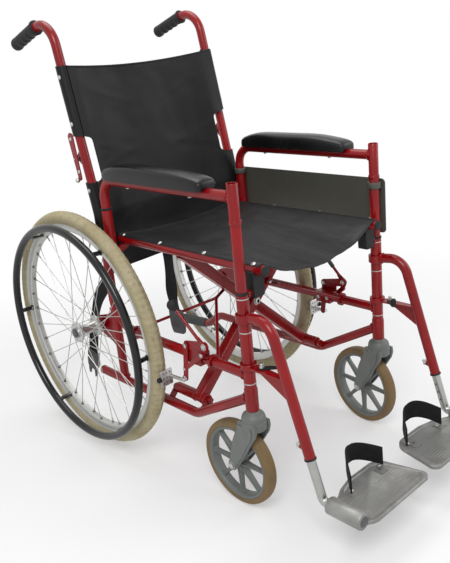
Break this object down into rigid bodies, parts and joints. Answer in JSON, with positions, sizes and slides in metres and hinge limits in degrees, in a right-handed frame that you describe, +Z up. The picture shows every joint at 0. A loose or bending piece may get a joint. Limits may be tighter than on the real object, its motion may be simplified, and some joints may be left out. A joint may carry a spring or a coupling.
{
  "type": "wheelchair",
  "caption": "Folding self-propelled wheelchair with sling seat and back, swing-away footrests, lift-off armrests, hand brakes and a scissor cross-brace.",
  "frame": {"origin": "on the floor under the middle of the bounding box", "axes": "+Z up, -Y forward, +X to the occupant's left"},
  "size_m": [0.6194, 1.137, 1.0462],
  "materials": {
    "red_paint": "gloss enamel",
    "black_vinyl": "grained vinyl-coated cloth",
    "black_rubber": "satin",
    "cream_tyre": "matte, treaded",
    "tan_tyre": "matte, worn",
    "grey_plastic": "satin moulded",
    "zinc": "zinc plated",
    "cast_aluminium": "as cast",
    "chrome": "dull plated",
    "guard_board": "matte",
    "sleeve_rubber": "matte"
  },
  "bodies": {
    "frame_right": {"side_frame_right": "red_paint", "seat_saddle_right": "black_rubber", "brake_bracket_right": "red_paint", "rear_axle_right": "zinc", "belt_on_post": "black_rubber", "back_sling": "black_vinyl"},
    "frame_left": {"side_frame_left": "red_paint", "seat_saddle_left": "black_rubber", "brake_bracket_left": "red_paint", "rear_axle_left": "zinc", "tipping_sleeve_left": "sleeve_rubber"},
    "brace_front": {"cross_tube_front": "red_paint", "cross_bolt": "zinc", "seat_sling": "black_vinyl"},
    "brace_rear": {"cross_tube_rear": "red_paint"},
    "belt_rail": {"belt_on_rail": "black_rubber"},
    "back_right": {"back_cane_right": "red_paint", "push_grip_right": "black_rubber"},
    "latch_right": {"back_latch_right": "red_paint"},
    "armrest_right": {"armrest_frame_right": "red_paint", "arm_pad_right": "black_vinyl"},
    "wheel_right": {"rear_wheel_right": "zinc", "rear_tyre_right": "cream_tyre", "pushrim_right": "black_rubber"},
    "fork_right": {"caster_fork_right": "grey_plastic", "caster_axle_right": "zinc"},
    "caster_right": {"caster_wheel_right": "grey_plastic", "caster_tyre_right": "tan_tyre"},
    "lever_right": {"brake_lever_right": "red_paint"},
    "shoe_right": {"brake_shoe_right": "zinc"},
    "link_right": {"brake_link_right": "red_paint"},
    "hanger_right": {"footrest_hanger_right": "red_paint"},
    "thumb_right": {"hanger_latch_right": "black_rubber"},
    "post_right": {"footrest_post_right": "chrome"},
    "plate_right": {"footplate_right": "cast_aluminium", "heel_loop_right": "black_vinyl"},
    "stay_right": {"stay_link_right": "red_paint"},
    "back_left": {"back_cane_left": "red_paint", "push_grip_left": "black_rubber"},
    "latch_left": {"back_latch_left": "red_paint"},
    "armrest_left": {"armrest_frame_left": "red_paint", "arm_pad_left": "black_vinyl", "skirt_guard_left": "guard_board"},
    "wheel_left": {"rear_wheel_left": "zinc", "rear_tyre_left": "cream_tyre", "pushrim_left": "black_rubber"},
    "fork_left": {"caster_fork_left": "grey_plastic", "caster_axle_left": "zinc"},
    "caster_left": {"caster_wheel_left": "grey_plastic", "caster_tyre_left": "tan_tyre"},
    "lever_left": {"brake_lever_left": "red_paint"},
    "shoe_left": {"brake_shoe_left": "zinc"},
    "link_left": {"brake_link_left": "red_paint"},
    "hanger_left": {"footrest_hanger_left": "red_paint"},
    "thumb_left": {"hanger_latch_left": "black_rubber"},
    "post_left": {"footrest_post_left": "chrome"},
    "plate_left": {"footplate_left": "cast_aluminium", "heel_loop_left": "black_vinyl"},
    "stay_left": {"stay_link_left": "red_paint"}
  },
  "joints": [
    {"name": "fold", "type": "hinge", "parent": "frame_right", "child": "brace_front", "pos_m": [-0.192, -0.0815, 0.196], "axis": [0, -1, 0], "range_deg": [0, 30.5], "deforming": ["seat_sling", "back_sling"]},
    {"name": "brace_cross", "type": "hinge", "parent": "brace_front", "child": "brace_rear", "pos_m": [0, -0.0815, 0.37167], "axis": [0, -1, 0], "range_deg": [-61.5, 0]},
    {"name": "frame_spread", "type": "hinge", "parent": "brace_rear", "child": "frame_left", "pos_m": [0.192, -0.0541, 0.196], "axis": [0, -1, 0], "range_deg": [0, 30.7]},
    {"name": "belt_rail_hang", "type": "hinge", "parent": "brace_rear", "child": "belt_rail", "pos_m": [-0.1818, 0.0055, 0.538], "axis": [0, -1, 0], "range_deg": [0, 30.7]},
    {"name": "back_fold_right", "type": "hinge", "parent": "frame_right", "child": "back_right", "pos_m": [-0.218, 0.23192, 0.7325], "axis": [-1, 0, 0], "range_deg": [0, 100], "deforming": ["back_sling"]},
    {"name": "latch_lift_right", "type": "hinge", "parent": "back_right", "child": "latch_right", "pos_m": [-0.2315, 0.23192, 0.7325], "axis": [-1, 0, 0], "range_deg": [0, 12], "stiffness_Nm_per_rad": 0.6, "springref_deg": -8.59},
    {"name": "armrest_lift_right", "type": "slide", "parent": "frame_right", "child": "armrest_right", "axis": [0, 0, 1], "range_m": [0, 0.07]},
    {"name": "wheel_spin_right", "type": "hinge", "parent": "frame_right", "child": "wheel_right", "pos_m": [-0.2575, 0.2635, 0.305], "axis": [1, 0, 0], "continuous": true},
    {"name": "caster_swivel_right", "type": "hinge", "parent": "frame_right", "child": "fork_right", "pos_m": [-0.218, -0.2815, 0.2425], "axis": [0, 0, 1], "continuous": true},
    {"name": "caster_spin_right", "type": "hinge", "parent": "fork_right", "child": "caster_right", "pos_m": [-0.21848, -0.2269, 0.0988], "axis": [1, 0.0087, 0], "continuous": true},
    {"name": "brake_right", "type": "hinge", "parent": "frame_right", "child": "lever_right", "pos_m": [-0.2362, -0.1686, 0.36], "axis": [1, 0, 0], "range_deg": [0, 28]},
    {"name": "brake_shoe_swing_right", "type": "hinge", "parent": "frame_right", "child": "shoe_right", "pos_m": [-0.2362, -0.1075, 0.348], "axis": [1, 0, 0], "range_deg": [0, 4.5]},
    {"name": "brake_link_swing_right", "type": "hinge", "parent": "lever_right", "child": "link_right", "pos_m": [-0.2362, -0.16275, 0.34087], "axis": [1, 0, 0], "range_deg": [-32, 0]},
    {"name": "hanger_swing_right", "type": "hinge", "parent": "frame_right", "child": "hanger_right", "pos_m": [-0.218, -0.2815, 0.4545], "axis": [0, 0, -1], "range_deg": [0, 90]},
    {"name": "hanger_thumb_right", "type": "hinge", "parent": "hanger_right", "child": "thumb_right", "pos_m": [-0.217, -0.3185, 0.3453], "axis": [0, 0, -1], "range_deg": [0, 15], "stiffness_Nm_per_rad": 0.3, "springref_deg": -8.59},
    {"name": "footrest_height_right", "type": "slide", "parent": "hanger_right", "child": "post_right", "axis": [0, 0.2987, 0.9543], "range_m": [0, 0.05]},
    {"name": "footplate_flip_right", "type": "hinge", "parent": "post_right", "child": "plate_right", "pos_m": [-0.2215, -0.47759, 0.105], "axis": [0, -1, 0], "range_deg": [0, 98]},
    {"name": "stay_swing_right", "type": "hinge", "parent": "frame_right", "child": "stay_right", "pos_m": [-0.218, -0.0815, 0.321], "axis": [0, -1, 0], "range_deg": [0, 38.5]},
    {"name": "back_fold_left", "type": "hinge", "parent": "frame_left", "child": "back_left", "pos_m": [0.218, 0.23192, 0.7325], "axis": [-1, 0, 0], "range_deg": [0, 100], "deforming": ["back_sling"]},
    {"name": "latch_lift_left", "type": "hinge", "parent": "back_left", "child": "latch_left", "pos_m": [0.2315, 0.23192, 0.7325], "axis": [-1, 0, 0], "range_deg": [0, 12], "stiffness_Nm_per_rad": 0.6, "springref_deg": -8.59},
    {"name": "armrest_lift_left", "type": "slide", "parent": "frame_left", "child": "armrest_left", "axis": [0, 0, 1], "range_m": [0, 0.07]},
    {"name": "wheel_spin_left", "type": "hinge", "parent": "frame_left", "child": "wheel_left", "pos_m": [0.2575, 0.2635, 0.305], "axis": [1, 0, 0], "continuous": true},
    {"name": "caster_swivel_left", "type": "hinge", "parent": "frame_left", "child": "fork_left", "pos_m": [0.218, -0.2815, 0.2425], "axis": [0, 0, 1], "continuous": true},
    {"name": "caster_spin_left", "type": "hinge", "parent": "fork_left", "child": "caster_left", "pos_m": [0.22465, -0.22731, 0.0988], "axis": [0.9925, -0.1219, 0], "continuous": true},
    {"name": "brake_left", "type": "hinge", "parent": "frame_left", "child": "lever_left", "pos_m": [0.2362, -0.1686, 0.36], "axis": [1, 0, 0], "range_deg": [0, 28]},
    {"name": "brake_shoe_swing_left", "type": "hinge", "parent": "frame_left", "child": "shoe_left", "pos_m": [0.2362, -0.1075, 0.348], "axis": [1, 0, 0], "range_deg": [0, 4.5]},
    {"name": "brake_link_swing_left", "type": "hinge", "parent": "lever_left", "child": "link_left", "pos_m": [0.2362, -0.16275, 0.34087], "axis": [1, 0, 0], "range_deg": [-32, 0]},
    {"name": "hanger_swing_left", "type": "hinge", "parent": "frame_left", "child": "hanger_left", "pos_m": [0.218, -0.2815, 0.4545], "axis": [0, 0, 1], "range_deg": [0, 90]},
    {"name": "hanger_thumb_left", "type": "hinge", "parent": "hanger_left", "child": "thumb_left", "pos_m": [0.217, -0.3185, 0.3453], "axis": [0, 0, 1], "range_deg": [0, 15], "stiffness_Nm_per_rad": 0.3, "springref_deg": -8.59},
    {"name": "footrest_height_left", "type": "slide", "parent": "hanger_left", "child": "post_left", "axis": [0, 0.2987, 0.9543], "range_m": [0, 0.05]},
    {"name": "footplate_flip_left", "type": "hinge", "parent": "post_left", "child": "plate_left", "pos_m": [0.2215, -0.47759, 0.105], "axis": [0, 1, 0], "range_deg": [0, 98]},
    {"name": "stay_swing_left", "type": "hinge", "parent": "frame_left", "child": "stay_left", "pos_m": [0.218, -0.0815, 0.321], "axis": [0, 1, 0], "range_deg": [0, 38.5]}
  ],
  "couplings": [
    {"joint": "brace_cross", "follows": "fold", "ratio": -2},
    {"joint": "frame_spread", "follows": "fold", "ratio": 1},
    {"joint": "belt_rail_hang", "follows": "fold", "ratio": 1},
    {"joint": "brake_shoe_swing_right", "follows": "brake_right", "ratio": 0.16},
    {"joint": "brake_link_swing_right", "follows": "brake_right", "ratio": -1.14},
    {"joint": "footplate_flip_right", "follows": "fold", "ratio": 3.2},
    {"joint": "stay_swing_right", "follows": "fold", "ratio": 1.258},
    {"joint": "brake_shoe_swing_left", "follows": "brake_left", "ratio": 0.16},
    {"joint": "brake_link_swing_left", "follows": "brake_left", "ratio": -1.14},
    {"joint": "footplate_flip_left", "follows": "fold", "ratio": 3.2},
    {"joint": "stay_swing_left", "follows": "fold", "ratio": 1.258},
    {"joint": "back_fold_left", "follows": "back_fold_right", "ratio": 1}
  ]
}
